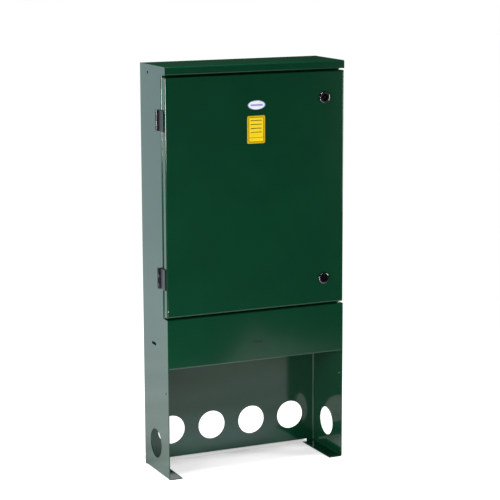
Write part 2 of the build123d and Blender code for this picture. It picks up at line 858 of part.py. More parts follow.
def bar_screws(middle):
    """Clamp screws of one bar."""
    face = board_front - post_height - bar_section
    screws = []
    for x in bar_way_places(middle):
        shank = rod(bar_screw_radius, (x, face, bar_level()), (0, 1, 0), bar_screw_depth)
        head = rod(bar_screw_head_radius, (x, face, bar_level()), (0, -1, 0), bar_screw_head)
        slot_depth = bar_screw_head / 2
        slot_half = bar_screw_radius / 4
        reach = bar_screw_head_radius + cut_overrun
        head -= block(x - reach, x + reach, face - bar_screw_head - cut_overrun, face - slot_depth,
                      bar_level() - slot_half, bar_level() + slot_half)
        screws.append(shank + head)
    return screws


def pillar():
    """All pieces of the pillar by name."""
    pieces = {}
    pieces["left_side"] = side_wall(True)
    pieces["right_side"] = flip(side_wall(False))
    pieces["roof"] = roof()
    pieces["back_panel"] = back_panel()
    pieces["lower_front_panel"] = lower_panel()
    pieces["door_pan"] = door_pan()
    pieces["door_gasket"] = door_gasket()
    for name, level in zip(("upper", "lower"), hinge_levels()):
        pieces[f"{name}_hinge_door_leaf"] = hinge_half(level, True)
        pieces[f"{name}_hinge_body_leaf"] = hinge_half(level, False)
        pieces[f"{name}_hinge_pin"] = hinge_pin(level)
    pieces["hinge_door_screws"] = hinge_door_screws()
    pieces["hinge_body_screws"] = hinge_body_screws()
    pieces["hinge_body_nuts"] = hinge_body_nuts()
    for name, (x, z) in lock_places().items():
        pieces[f"{name}_lock_housing"] = lock_housing(x, z)
        pieces[f"{name}_lock_nut"] = lock_nut(x, z)
        pieces[f"{name}_lock_insert"] = lock_insert(x, z)
        pieces[f"{name}_lock_cam"] = lock_cam(x, z)
        pieces[f"{name}_lock_cam_screw"] = cam_screw(x, z)
    wall_stud = (-left - sheet, front + cabinet_stud_back, sill_height + cabinet_stud_rise)
    pieces["cabinet_earth_stud"], pieces["cabinet_earth_nut"] = stud_and_nut(wall_stud, (-1, 0, 0),
                                                                             cabinet_stud_length)
    pan_stud = (left + door_stud_from_edge, front + sheet, door_bottom + door_stud_from_end)
    pieces["door_earth_stud"], pieces["door_earth_nut"] = stud_and_nut(pan_stud, (0, 1, 0), door_stud_length)
    for name, level in zip(("lower", "upper"), channel_levels()):
        pieces[f"{name}_channel"] = channel(level)
    pieces["backboard"] = backboard()
    pieces["backboard_bolts"] = backboard_bolts()
    pieces["backboard_nuts"] = backboard_nuts()
    pieces["mounting_rail"] = mounting_rail()
    pieces["mounting_rail_screws"] = rail_screws()
    pieces["main_switch_case"] = main_switch_case()
    pieces["main_switch_handle"] = main_switch_handle()
    for i in range(breaker_count):
        pieces[f"breaker_{i + 1}_case"] = breaker_case(switch_module_count + i)
        pieces[f"breaker_{i + 1}_toggle"] = breaker_toggle(switch_module_count + i)
    for name, middle in bar_places().items():
        pieces[f"{name}_bar"] = terminal_bar(middle)
        pieces[f"{name}_bar_posts"] = bar_posts(middle)
        pieces[f"{name}_bar_screws"] = bar_screws(middle)
    return pieces


os.makedirs("parts", exist_ok=True)
for name, piece in pillar().items():
    solids = piece if isinstance(piece, list) else [piece]
    export_step(Compound(children=[solid for part in solids for solid in part.solids()]),
                f"parts/{name}.step")
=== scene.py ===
# %% [markdown]
# A feeder pillar is the green steel cabinet that stands on a pavement or in a field and shares out the
# mains to lamps, pumps or houses. This lesson dresses a finished CAD model of one: the sheet metal,
# hinges, locks and switchgear are already there as solids, each in its place. What is missing is what the
# eye reads first: the gloss of the paint, the grain of the castings, the soft seal round the door, the
# badge and the yellow label. The lesson adds those and then sets up the light of a studio photograph.

# %% Load the frame
import json
import bpy
import numpy as np
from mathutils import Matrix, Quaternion, Vector


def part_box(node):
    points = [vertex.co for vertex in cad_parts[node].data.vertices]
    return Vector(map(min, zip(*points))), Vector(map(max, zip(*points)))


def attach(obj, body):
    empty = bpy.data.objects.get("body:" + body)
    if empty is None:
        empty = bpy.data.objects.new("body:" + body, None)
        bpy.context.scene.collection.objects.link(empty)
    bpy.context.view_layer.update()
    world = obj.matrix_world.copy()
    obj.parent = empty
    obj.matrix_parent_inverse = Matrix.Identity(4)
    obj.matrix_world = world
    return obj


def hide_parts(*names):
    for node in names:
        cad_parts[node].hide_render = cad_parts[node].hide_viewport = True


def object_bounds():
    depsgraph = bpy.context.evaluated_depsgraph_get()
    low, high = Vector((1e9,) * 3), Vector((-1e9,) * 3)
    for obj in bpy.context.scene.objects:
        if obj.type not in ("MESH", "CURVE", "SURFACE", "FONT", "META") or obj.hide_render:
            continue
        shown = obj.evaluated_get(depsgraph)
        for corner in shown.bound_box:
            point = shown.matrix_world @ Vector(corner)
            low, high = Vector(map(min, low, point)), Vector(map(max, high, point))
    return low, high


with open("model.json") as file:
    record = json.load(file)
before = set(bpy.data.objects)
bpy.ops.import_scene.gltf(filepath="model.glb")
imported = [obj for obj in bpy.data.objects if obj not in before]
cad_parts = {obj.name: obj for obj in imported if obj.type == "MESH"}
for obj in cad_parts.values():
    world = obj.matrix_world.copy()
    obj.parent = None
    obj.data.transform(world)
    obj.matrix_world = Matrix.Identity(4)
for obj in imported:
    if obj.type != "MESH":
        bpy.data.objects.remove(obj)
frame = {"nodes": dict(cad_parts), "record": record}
cad_low, cad_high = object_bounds()
nodes = frame["nodes"]
cad_size = [round(high - low, 3) for low, high in zip(cad_low, cad_high)]
print("CAD nodes:", len(nodes), "size in metres:", cad_size)

# %% [markdown]
# All sizes are in metres from here on, and MM is one millimetre. A few are read from the solids, so that the
# added pieces stay in place if the cabinet is made in another size: the front of the door, the door's
# outline and the middle of the door's face.

# %% Sizes read from the solids
MM = 0.001
door_low, door_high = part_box("door_pan")
seal_low, seal_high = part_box("door_gasket")
door_front = door_low.y
door_middle_x = (door_low.x + door_high.x) / 2
print("door front at y", round(door_front, 4), "door height", round(door_high.z - door_low.z, 3))

# %% [markdown]
# Every new piece here is a surface of two parameters. One runs round an outline, the other runs along a
# profile across it, and numpy works out all the points at once. The outline used most is a rectangle with
# rounded corners. It has a neat formula: at the angle t, go to the centre of the corner in that quarter and
# add the corner radius times (cos t, sin t). The straight sides appear by themselves between the quarters.

# %% Outlines
def rounded_rectangle(half_width, half_height, radius, around=96):
    """Points (x, z) at angles t: the sign of (cos t, sin t) times the half sizes less the radius, plus the
    radius times (cos t, sin t). Half sizes and radius may be columns, one row of points for each."""
    t = (np.arange(around) + 0.5) * 2 * np.pi / around
    x = np.sign(np.cos(t)) * (half_width - radius) + radius * np.cos(t)
    z = np.sign(np.sin(t)) * (half_height - radius) + radius * np.sin(t)
    return x, z


def oval(half_width, half_height, around=96):
    """Points (x, z) at angles t: half width times cos t, half height times sin t."""
    t = (np.arange(around) + 0.5) * 2 * np.pi / around
    return half_width * np.cos(t), half_height * np.sin(t)


print("points round an oval:", oval(1.0, 1.0)[0].size)

# %% [markdown]
# A grid of points becomes a mesh by joining each point to its neighbours in the next row and column. Such a
# mesh may come out inside out, depending on which way the outline runs. The sign of the volume that the faces
# enclose tells, and a negative one turns every face round.

# %% Surfaces from grids
def surface(name, x, y, z, ring=False):
    """Closed mesh from a grid of points, rows by columns. Columns close on themselves. Rows close on
    themselves too if ring is true, and otherwise each end row is filled with a fan to its middle."""
    points = np.stack(np.broadcast_arrays(x, y, z), axis=-1)
    rows, columns = points.shape[:2]
    row = np.arange(rows if ring else rows - 1)[:, None]
    column = np.arange(columns)[None, :]
    below, above = row * columns, (row + 1) % rows * columns
    after = (column + 1) % columns
    quads = np.stack([below + column, below + after, above + after, above + column], axis=-1)
    corners = points.reshape(-1, 3)
    faces = quads.reshape(-1, 4).tolist()
    if not ring:
        ends = np.stack([points[0].mean(axis=0), points[-1].mean(axis=0)])
        first, last = len(corners), len(corners) + 1
        corners = np.concatenate([corners, ends])
        here, there = column.ravel(), after.ravel()
        top = (rows - 1) * columns
        faces += np.stack([there, here, np.full(columns, first)], axis=-1).tolist()
        faces += np.stack([top + here, top + there, np.full(columns, last)], axis=-1).tolist()
    a, b, c, d = (corners[quads[..., corner]] for corner in range(4))
    volume = np.sum(np.cross(b - a, c - a) * a) + np.sum(np.cross(c - a, d - a) * a)
    if volume < 0:
        faces = [face[::-1] for face in faces]
    mesh = bpy.data.meshes.new(name)
    mesh.from_pydata(corners.tolist(), [], faces)
    mesh.polygons.foreach_set("use_smooth", np.ones(len(mesh.polygons), bool))
    mesh.set_sharp_from_angle(angle=np.radians(40))
    piece = bpy.data.objects.new(name, mesh)
    bpy.context.scene.collection.objects.link(piece)
    print(name, "faces:", len(faces))
    return piece


# %% [markdown]
# Finishes are built from a handful of shader nodes. Two helpers keep that short. The first turns a colour
# as it is written on paint cards and web pages into the linear light that a renderer works with. The second
# adds one node with its settings and its inputs, linking an input where it is given another node's output.

# %% Colours and nodes
def linear(hex_code):
    """Linear red, green, blue and alpha of an sRGB colour written as #rrggbb."""
    value = np.array([int(hex_code[start:start + 2], 16) for start in (1, 3, 5)]) / 255
    light = np.where(value <= 0.04045, value / 12.92, ((value + 0.055) / 1.055) ** 2.4)
    return (*light.tolist(), 1.0)


def add(tree, kind, sockets=None, **settings):
    """Add one node. Inputs are given by name or number, as a value or as another node's output."""
    node = tree.nodes.new(kind)
    for name, value in settings.items():
        setattr(node, name, value)
    for key, value in (sockets or {}).items():
        if isinstance(value, bpy.types.NodeSocket):
            tree.links.new(value, node.inputs[key])
        else:
            node.inputs[key].default_value = value
    return node


print("middle grey in linear light:", round(linear("#808080")[0], 3))

# %% [markdown]
# Real finishes are never one flat colour, so most of those below wander between two shades in patches of
# some real size. The scale of the noise that draws them is the number of patches to a metre, which is one
# divided by that size. In a cast or moulded skin the same noise also stands a little out of the surface.

# %% Finishes in patches
def new_finish(name, **values):
    """A material, its node tree, its shader and the object's own coordinates in metres."""
    material = bpy.data.materials.new(name)
    material.use_nodes = True
    tree = material.node_tree
    shader = tree.nodes["Principled BSDF"]
    for key, value in values.items():
        shader.inputs[key].default_value = value
    return material, tree, shader, add(tree, "ShaderNodeTexCoord").outputs["Object"]


def mottled(name, patch, dark, light, detail=2.0, **values):
    """A finish whose colour wanders between a dark and a light shade in patches of that size. Gives the
    material, its node tree, its shader and the noise that draws the patches."""
    material, tree, shader, place = new_finish(name, **values)
    noise = add(tree, "ShaderNodeTexNoise", {"Vector": place, "Scale": 1 / patch, "Detail": detail})
    tint = add(tree, "ShaderNodeMix", {0: noise.outputs[0], 6: linear(dark), 7: linear(light)},
               data_type="RGBA")
    tree.links.new(tint.outputs[2], shader.inputs["Base Color"])
    return material, tree, shader, noise.outputs[0]


def grained(name, grain, dark, light, skin_depth, **values):
    """A mottled finish whose patches stand out of the surface by up to the skin's depth."""
    material, tree, shader, noise = mottled(name, grain, dark, light, **values)
    skin = add(tree, "ShaderNodeBump", {"Height": noise, "Distance": skin_depth})
    tree.links.new(skin.outputs[0], shader.inputs["Normal"])
    return material


finishes = {}

# %% [markdown]
# The cabinet is folded from mild steel and powder coated: dry polyester powder is sprayed on with a charge
# and melted in an oven. It gives a deep, even gloss in dark green. The film is a little thicker here and
# thinner there, so the green isn't one flat colour, and it has caught some dust. Near the door's lower corner
# there is one pale spot. A painted image could show all that, but it would need to be laid out on every
# folded sheet. Noise and distances on the object's own coordinates run over the folds without a seam.

# %% Green powder coat
cloud_size = 143 * MM
dust_spacing, dust_radius, dusty_share = 45.45 * MM, 0.727 * MM, 0.10
pale_spot_place = (door_low.x + 3.3 * MM, door_front, door_low.z + 21.4 * MM)
pale_spot_radius = 1.5 * MM
coat, tree, shader, place = new_finish("powder_coat_green_polyester", Roughness=0.12, IOR=1.52)
cloud = add(tree, "ShaderNodeTexNoise", {"Vector": place, "Scale": 1 / cloud_size, "Detail": 3.0})
green = add(tree, "ShaderNodeMix", {0: cloud.outputs[0], 6: linear("#0a3723"), 7: linear("#0d412a")},
            data_type="RGBA")
# Dust that settled while the film was soft: a speck about 1.5 mm across in one of ten cells.
cell = add(tree, "ShaderNodeTexVoronoi", {"Vector": place, "Scale": 1 / dust_spacing})
speck = add(tree, "ShaderNodeMath", {0: cell.outputs["Distance"], 1: dust_radius / dust_spacing},
            operation="LESS_THAN")
pick = add(tree, "ShaderNodeSeparateColor", {0: cell.outputs["Color"]})
rare = add(tree, "ShaderNodeMath", {0: pick.outputs[0], 1: dusty_share}, operation="LESS_THAN")
dust = add(tree, "ShaderNodeMath", {0: speck.outputs[0], 1: rare.outputs[0]}, operation="MULTIPLY")
dusty = add(tree, "ShaderNodeMix", {0: dust.outputs[0], 6: green.outputs[2], 7: linear("#5f7a6b")},
            data_type="RGBA")
# A pale grey spot 3 mm across sits at the door's lower corner.
from_pale_spot = add(tree, "ShaderNodeVectorMath", {0: place, 1: pale_spot_place}, operation="DISTANCE")
pale_spot = add(tree, "ShaderNodeMath", {0: from_pale_spot.outputs["Value"], 1: pale_spot_radius}, operation="LESS_THAN")
with_pale_spot = add(tree, "ShaderNodeMix", {0: pale_spot.outputs[0], 6: dusty.outputs[2], 7: linear("#c4ccc8")},
              data_type="RGBA")
tree.links.new(with_pale_spot.outputs[2], shader.inputs["Base Color"])
finishes["green_powder_coat"] = coat
print("green coat nodes:", len(tree.nodes))

# %% [markdown]
# Two more marks of the making bend what the gloss mirrors. The melted powder sets with a faint orange peel,
# and the sheet under it has long shallow waves from the rolling mill. Modelled, such fine relief would take
# millions of faces. Both are bumps instead, one on the other.

# %% Orange peel and waves
# Orange peel is 2 to 4 mm across on the real film; it is drawn at about 7 mm so that it still shows.
peel_size, wave_length = 7.14 * MM, 250 * MM
peel_depth, wave_depth = 0.015 * MM, 0.3 * MM
peel = add(tree, "ShaderNodeTexNoise", {"Vector": place, "Scale": 1 / peel_size, "Detail": 1.0})
wave = add(tree, "ShaderNodeTexNoise", {"Vector": place, "Scale": 1 / wave_length, "Detail": 1.0})
waves = add(tree, "ShaderNodeBump", {"Height": wave.outputs[0], "Distance": wave_depth})
peeled = add(tree, "ShaderNodeBump", {"Height": peel.outputs[0], "Distance": peel_depth,
                                      "Normal": waves.outputs[0]})
tree.links.new(peeled.outputs[0], shader.inputs["Normal"])
print("green coat nodes with its bumps:", len(tree.nodes))

# %% [markdown]
# The hinges are zinc die castings with a satin black coat. A casting skin is never quite smooth: a fine
# grain breaks the highlight along each knuckle into a soft band. The leaf on the cabinet was rubbed
# smoother, so its two knuckles shine more than the door's. The lock heads are cast too, but are plated in
# black nickel, so a lamp shows in them as a small hard spot. The key insert in the middle of a lock is dark
# passivated zinc. One function makes both hinge coats, because they differ only in how smooth they are.

# %% Black castings
# The real grain is a few tenths of a millimetre; it is drawn coarser so that it still breaks the highlight.
casting_grain, plating_cloud, insert_grain = 1.429 * MM, 3.846 * MM, 1.111 * MM
casting_shades = ("#121318", "#1e1f25")
hinge_coat = grained("satin_black_die_casting", casting_grain, *casting_shades, 0.03 * MM,
                     Roughness=0.36, IOR=1.5)
rubbed_coat = grained("rubbed_black_die_casting", casting_grain, *casting_shades, 0.01 * MM,
                      Roughness=0.2, IOR=1.5)
finishes["black_hinge_casting"] = hinge_coat

lock_coat, tree, shader, smear = mottled("black_nickel_plated_die_casting", plating_cloud,
                                         "#7f7d83", "#8c8a90", Metallic=1.0)
dull = add(tree, "ShaderNodeMapRange", {0: smear, 3: 0.10, 4: 0.22})
tree.links.new(dull.outputs[0], shader.inputs["Roughness"])
finishes["black_lock_casting"] = lock_coat

insert_metal = mottled("dark_passivated_zinc", insert_grain, "#2a2b2e", "#44464a",
                       Metallic=1.0, Roughness=0.34)[0]
finishes["lock_insert_zinc"] = insert_metal
print("castings:", hinge_coat.name, rubbed_coat.name, lock_coat.name, insert_metal.name)

# %% [markdown]
# Inside, the channels, rail, bolts and lock cams are zinc plated. Bright plating is grey with a cool cast
# and faint cloudy patches where the bath plated unevenly. The earth studs and terminal bars are brass, which
# dulls to brown where hands and damp air reach it. One noise drives both colour and roughness, because a
# patch that has dulled is also rougher. Metals keep the shader's usual index of refraction, because their
# colour and shine come from the metallic setting.

# %% Plated steel and brass
zinc_cloud, tarnish_spot = 16.67 * MM, 11.11 * MM
zinc, tree, shader, cloudy = mottled("bright_zinc_plated_steel", zinc_cloud, "#9da3a8", "#cfd4d8", 4.0,
                                     Metallic=1.0)
dull = add(tree, "ShaderNodeMapRange", {0: cloudy, 3: 0.42, 4: 0.24})
tree.links.new(dull.outputs[0], shader.inputs["Roughness"])
finishes["zinc_plated_steel"] = zinc

brass, tree, shader, place = new_finish("drawn_brass", Metallic=1.0)
tarnish = add(tree, "ShaderNodeTexNoise", {"Vector": place, "Scale": 1 / tarnish_spot, "Detail": 5.0})
spread = add(tree, "ShaderNodeMapRange", {0: tarnish.outputs[0], 1: 0.40, 2: 0.65})
tint = add(tree, "ShaderNodeMix", {0: spread.outputs[0], 6: linear("#d2ac55"), 7: linear("#93713a")},
           data_type="RGBA")
tree.links.new(tint.outputs[2], shader.inputs["Base Color"])
dull = add(tree, "ShaderNodeMapRange", {0: spread.outputs[0], 3: 0.22, 4: 0.45})
tree.links.new(dull.outputs[0], shader.inputs["Roughness"])
finishes["brass"] = brass
print("metals:", zinc.name, brass.name)

# %% [markdown]
# The switch and breakers are moulded plastic. Their moulds are spark eroded, which leaves a fine matt skin
# that scatters light evenly. Handles and toggles come from the same kind of mould in black, and the posts
# under the terminal bars are red moulding compound, slightly marbled by its filler. The three differ only
# in numbers, so a loop over a small table makes them.

# %% Mouldings
# A spark eroded skin is finer than a tenth of a millimetre; it is drawn coarser so that it shows close up.
eroded_grain, filler_marbling = 0.6667 * MM, 3.846 * MM
mould_skin = 0.01 * MM
mouldings = {
    "grey_moulding": ("light_grey_moulding", eroded_grain, "#b9bbb8", "#c6c8c5", 0.46),
    "black_moulding": ("black_moulding", eroded_grain, "#111214", "#1b1c1f", 0.40),
    "red_insulator": ("red_moulding_compound", filler_marbling, "#7c1a15", "#99261d", 0.38),
}
for slot_name, (name, grain, dark, light, roughness) in mouldings.items():
    finishes[slot_name] = grained(name, grain, dark, light, mould_skin, Roughness=roughness, IOR=1.52)
print("mouldings:", len(mouldings))

# %% [markdown]
# The switchgear is screwed to a sheet of plywood. Its face shows long upright grain. Its edge shows the
# plies, light and dark in turn, because each layer is laid across the last. A stretched noise draws the
# grain, and the depth through the board picks the ply: on the flat face that depth doesn't change, so the
# stripes show only where the board was sawn.

# %% Plywood board
grain_width, grain_length, ply_count = 14.29 * MM, 250 * MM, 9
board_low, board_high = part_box("backboard")
ply = (board_high.y - board_low.y) / ply_count
plywood, tree, shader, place = new_finish("birch_plywood_varnished", Roughness=0.42, IOR=1.5)
stretch = (1 / grain_width, 1 / grain_width, 1 / grain_length)
stretched = add(tree, "ShaderNodeMapping", {"Vector": place, "Scale": stretch})
grain = add(tree, "ShaderNodeTexNoise", {"Vector": stretched.outputs[0], "Scale": 1.0, "Detail": 6.0,
                                         "Distortion": 0.6})
wood = add(tree, "ShaderNodeMix", {0: grain.outputs[0], 6: linear("#8f6a42"), 7: linear("#d3b487")},
           data_type="RGBA")
depth = add(tree, "ShaderNodeSeparateXYZ", {0: place})
layers = add(tree, "ShaderNodeMath", {0: depth.outputs[1], 1: board_low.y - ply / 2}, operation="SUBTRACT")
stripe = add(tree, "ShaderNodeMath", {0: layers.outputs[0], 1: ply}, operation="PINGPONG")
share = add(tree, "ShaderNodeMath", {0: stripe.outputs[0], 1: ply}, operation="DIVIDE")
end_grain = add(tree, "ShaderNodeMapRange", {0: share.outputs[0], 1: 0.45, 2: 0.55, 4: 0.55})
plies = add(tree, "ShaderNodeMix", {0: end_grain.outputs[0], 6: wood.outputs[2], 7: linear("#6b4a2a")},
            data_type="RGBA")
tree.links.new(plies.outputs[2], shader.inputs["Base Color"])
skin = add(tree, "ShaderNodeBump", {"Height": grain.outputs[0], "Distance": 0.05 * MM})
tree.links.new(skin.outputs[0], shader.inputs["Normal"])
finishes["board"] = plywood
print("ply thickness in mm:", round(ply / MM, 2))

# %% [markdown]
# Foam rubber is full of small bubbles, and where they are cut open at the skin they leave pores. A cell
# pattern turned into a bump gives pits, and the same pattern paints each pit darker towards its bottom as
# painted shade, so the seal looks dry and soft. Pores cut into the mesh would look the same from a step away,
# at many thousand faces more.

# %% Foam rubber
pore_size, pore_depth = 1.111 * MM, 0.25 * MM
foam, tree, shader, place = new_finish("black_cellular_rubber", Roughness=0.85, IOR=1.45)
pores = add(tree, "ShaderNodeTexVoronoi", {"Vector": place, "Scale": 1 / pore_size})
# Painted shade: the colour is darker towards the bottom of each pore.
tint = add(tree, "ShaderNodeMix", {0: pores.outputs["Distance"], 6: linear("#0c0c0d"), 7: linear("#242426")},
           data_type="RGBA")
tree.links.new(tint.outputs[2], shader.inputs["Base Color"])
pits = add(tree, "ShaderNodeBump", {"Height": pores.outputs["Distance"], "Distance": pore_depth})
tree.links.new(pits.outputs[0], shader.inputs["Normal"])
finishes["black_foam_rubber"] = foam
print("foam pore size in mm:", round(pore_size / MM, 2))

# %% [markdown]
# Each solid names the finish it wants in the record that came with the model. Giving the finish to the
# solid is then one line, and no shape is touched.

# %% Dress the solids
for row in frame["record"]["subparts"]:
    mesh = nodes[row["node"]].data
    mesh.materials.clear()
    mesh.materials.append(finishes[row["material_slot"]])
for node_name in ("upper_hinge_body_leaf", "lower_hinge_body_leaf"):
    nodes[node_name].data.materials[0] = rubbed_coat

# %% [markdown]
# The door shuts on a strip of foam glued round its inner lip. A strip of foam isn't a square bar: its skin
# is crowned. A bevelled bar would be round too, but would pinch at the corners. So a profile, half a
# flattened oval on a flat foot, is carried round the door's own outline, made smaller by the distance across
# the strip, and the corners are neat mitres.

# %% Foam seal round the door
seal_width, seal_corner = 12 * MM, 14 * MM
seal_rise = seal_high.y - seal_low.y
v = np.linspace(0, np.pi, 25)[:, None]
flat_inset = seal_width * np.linspace(1, 0, 5)[1:-1, None]
inset = np.concatenate([seal_width * (1 - np.cos(v)) / 2, flat_inset])
rise = np.concatenate([seal_rise * np.sin(v) ** 0.5, 0 * flat_inset])
seal_x, seal_z = rounded_rectangle((seal_high.x - seal_low.x) / 2 - inset,
                                   (seal_high.z - seal_low.z) / 2 - inset, seal_corner - inset, around=160)
seal = surface("door_foam_seal", (seal_low.x + seal_high.x) / 2 + seal_x, seal_low.y + rise,
               (seal_low.z + seal_high.z) / 2 + seal_z, ring=True)
seal.data.materials.append(foam)
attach(seal, "door")
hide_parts("door_gasket")

# %% [markdown]
# The back sheet is welded to the side walls, and the weld is dressed smooth and coated with the rest. It
# leaves a hollow bead in each corner, which mirrors the floor as one thin pale line. The solids keep their
# shape here, so the bead is a piece of its own and not a rounding of the sheets. Its section is a quarter
# circle whose centre lies out in the open, and two straight legs buried in the sheets. Its size wanders by a
# few tenths of a millimetre along the run, as the product of two slow sine waves.

# %% Weld beads in the back corners
bead_size, bead_wander, buried_depth = 5 * MM, 0.25 * MM, 0.2 * MM
short_wave, long_wave = 9 * MM, 31 * MM
arc_points, leg_points = 15, 8
panel_low, panel_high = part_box("back_panel")
sheet = panel_high.y - panel_low.y
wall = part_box("right_side")[1].x - sheet
run = np.linspace(panel_low.z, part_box("lower_channel")[0].z - bead_size, 160)[:, None]
reach = bead_size + bead_wander * np.sin(run / short_wave) * np.sin(run / long_wave)
t = np.linspace(0, np.pi / 2, arc_points)
leg = np.linspace(1, 0, leg_points + 1)[1:]
hollow_x = np.concatenate([np.sin(t), np.ones(leg_points), leg])
hollow_y = np.concatenate([np.cos(t), leg[::-1], np.ones(leg_points)])
buried = np.concatenate([np.zeros(arc_points), np.full(2 * leg_points, buried_depth)])
for side, name in ((-1, "left"), (1, "right")):
    bead = surface(f"{name}_weld_bead", side * (wall - reach + reach * hollow_x + buried),
                   panel_low.y - reach + reach * hollow_y + buried, run)
    bead.data.materials.append(coat)
    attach(bead, "cabinet")

# %% [markdown]
# The badge on such a cabinet is an oval under a drop of clear resin, which sets as a low dome. A flattened
# ball would fall away too soon. So the dome's height falls from the middle to the rim as one minus the
# distance to the fourth power, which stays flat in the middle and turns down quickly. A last row at the
# door's face closes the edge.

# %% Blank domed badge
badge_middle = Vector((door_middle_x - 0.2 * MM, door_front, door_high.z - 94.4 * MM))
badge_half_width, badge_half_height = 29.0 * MM, 14.0 * MM
badge_edge, badge_dome = 0.4 * MM, 1.8 * MM
out = np.linspace(0.12, 1, 22)[:, None]
dome = badge_edge + badge_dome * (1 - out ** 4)
out = np.concatenate([out, out[-1:]])
dome = np.concatenate([dome, [[0.0]]])
oval_x, oval_z = oval(badge_half_width, badge_half_height)
badge = surface("blank_badge", badge_middle.x + out * oval_x, badge_middle.y - dome,
                badge_middle.z + out * oval_z)
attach(badge, "door")

# %% [markdown]
# The resin lies over a plain white oval with a thin pale rim and one plain pale stripe. Both shapes are
# worked out from the place on the badge: divided by the oval's half sizes, the distance from the middle is
# 1 at the rim, and divided by the stripe's half sizes, the larger of the two parts is 1 at the stripe's edge.
# A formula stays sharp however near the camera comes, which an image doesn't.

# %% Resin over white
stripe_half_width, stripe_half_height = 21.48 * MM, 3.043 * MM
to_oval = (1 / badge_half_width, 0, 1 / badge_half_height)
to_stripe = (1 / stripe_half_width, 0, 1 / stripe_half_height)
resin, tree, shader, place = new_finish("clear_domed_resin_over_white", Roughness=0.08, IOR=1.5)
centred = add(tree, "ShaderNodeMapping", {"Vector": place, "Location": badge_middle}, vector_type="TEXTURE")
scaled = add(tree, "ShaderNodeVectorMath", {0: centred.outputs[0], 1: to_oval}, operation="MULTIPLY")
from_middle = add(tree, "ShaderNodeVectorMath", {0: scaled.outputs[0]}, operation="LENGTH")
rim = add(tree, "ShaderNodeMapRange", {0: from_middle.outputs["Value"], 1: 0.88, 2: 0.92})
rimmed = add(tree, "ShaderNodeMix", {0: rim.outputs[0], 6: linear("#fbfbff"), 7: linear("#b4bdea")},
             data_type="RGBA")
on_stripe = add(tree, "ShaderNodeVectorMath", {0: centred.outputs[0], 1: to_stripe}, operation="MULTIPLY")
either_way = add(tree, "ShaderNodeVectorMath", {0: on_stripe.outputs[0]}, operation="ABSOLUTE")
parts = add(tree, "ShaderNodeSeparateXYZ", {0: either_way.outputs[0]})
larger = add(tree, "ShaderNodeMath", {0: parts.outputs[0], 1: parts.outputs[2]}, operation="MAXIMUM")
stripe = add(tree, "ShaderNodeMapRange", {0: larger.outputs[0], 1: 0.9, 2: 1.0, 3: 1.0, 4: 0.0})
striped = add(tree, "ShaderNodeMix", {0: stripe.outputs[0], 6: rimmed.outputs[2], 7: linear("#a4abe6")},
              data_type="RGBA")
tree.links.new(striped.outputs[2], shader.inputs["Base Color"])
badge.data.materials.append(resin)
print("badge finish nodes:", len(tree.nodes))

# %% [markdown]
# Below the badge is a yellow vinyl label. Vinyl film is soft to the eye: half gloss, and a little uneven
# where the sun has faded it. The inks on it are screen printed, a dark one and a bright yellow one, and are
# less glossy than the film.

# %% Vinyl and inks
fade_patch, ink_grain = 16.67 * MM, 1.429 * MM
vinyl = mottled("yellow_vinyl_film", fade_patch, "#d8ab00", "#e4b800", 3.0, Roughness=0.3, IOR=1.5)[0]
dark_ink = mottled("screen_printed_ink", ink_grain, "#1c1a0a", "#3a3514", Roughness=0.4, IOR=1.5)[0]
bright_ink = mottled("bright_yellow_ink", fade_patch, "#ffd900", "#ffe400", 3.0, Roughness=0.4, IOR=1.5)[0]
print("label finishes:", vinyl.name, dark_ink.name, bright_ink.name)

# %% [markdown]
# The label is a plain yellow plate with rounded corners, a brighter field, a thin dark frame, a line that
# parts off the foot, and a few ruled lines such as a blank form has. Each is a thin film of its own, the
# same outline formula again with other sizes. Colours on one plate would do for a picture, but films of
# their own keep crisp edges in an exported mesh. The inks start a little inside the vinyl, so no gap shows
# under them.

# %% Plain yellow label
label_middle = Vector((door_middle_x - 1.6 * MM, door_front, door_high.z - 169.4 * MM))
label_half_width, label_half_height, label_corner = 29.8 * MM, 42.6 * MM, 5 * MM
vinyl_thickness, ink_thickness, ink_sunk = 0.35 * MM, 0.15 * MM, 0.1 * MM
field_margin, field_corner, field_thickness = 6 * MM, 2 * MM, 0.14 * MM
divider_drop, divider_half_height, divider_corner = 24.5 * MM, 0.6 * MM, 0.5 * MM
line_margin, line_half_height, line_corner = 11 * MM, 1.1 * MM, 0.9 * MM
line_rises = np.array([28, 16, 4, -8]) * MM


def plate(name, rise, half_width, half_height, radius, base, thickness, material):
    """Thin plate on the door, at a rise from the label's middle: the outline at full size from the base up
    to two thirds of the thickness, then drawn in by a third of the thickness for its rounded edge."""
    draw = np.array([[0.0], [0.0], [thickness / 3]])
    up = np.array([[0.0], [thickness * 2 / 3], [thickness]])
    plate_x, plate_z = rounded_rectangle(half_width - draw, half_height - draw, radius - draw, around=64)
    piece = surface(name, label_middle.x + plate_x, door_front - base - up, label_middle.z + rise + plate_z)
    piece.data.materials.append(material)
    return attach(piece, "door")


ink_base = vinyl_thickness - ink_sunk
plate("yellow_label", 0.0, label_half_width, label_half_height, label_corner, 0.0, vinyl_thickness, vinyl)
plate("label_field", 0.0, label_half_width - field_margin, label_half_height - field_margin, field_corner,
      ink_base, field_thickness, bright_ink)
plate("label_divider", -divider_drop, label_half_width - field_margin, divider_half_height, divider_corner,
      ink_base, ink_thickness, dark_ink)
for number, line_rise in enumerate(line_rises):
    plate(f"label_line_{number + 1}", line_rise, label_half_width - line_margin, line_half_height,
          line_corner, ink_base, ink_thickness, dark_ink)

# %% [markdown]
# The frame is a ring, so its rows run round its section: up the outer side, across the top and down the inner
# side, each row being the same rounded rectangle at another inset.

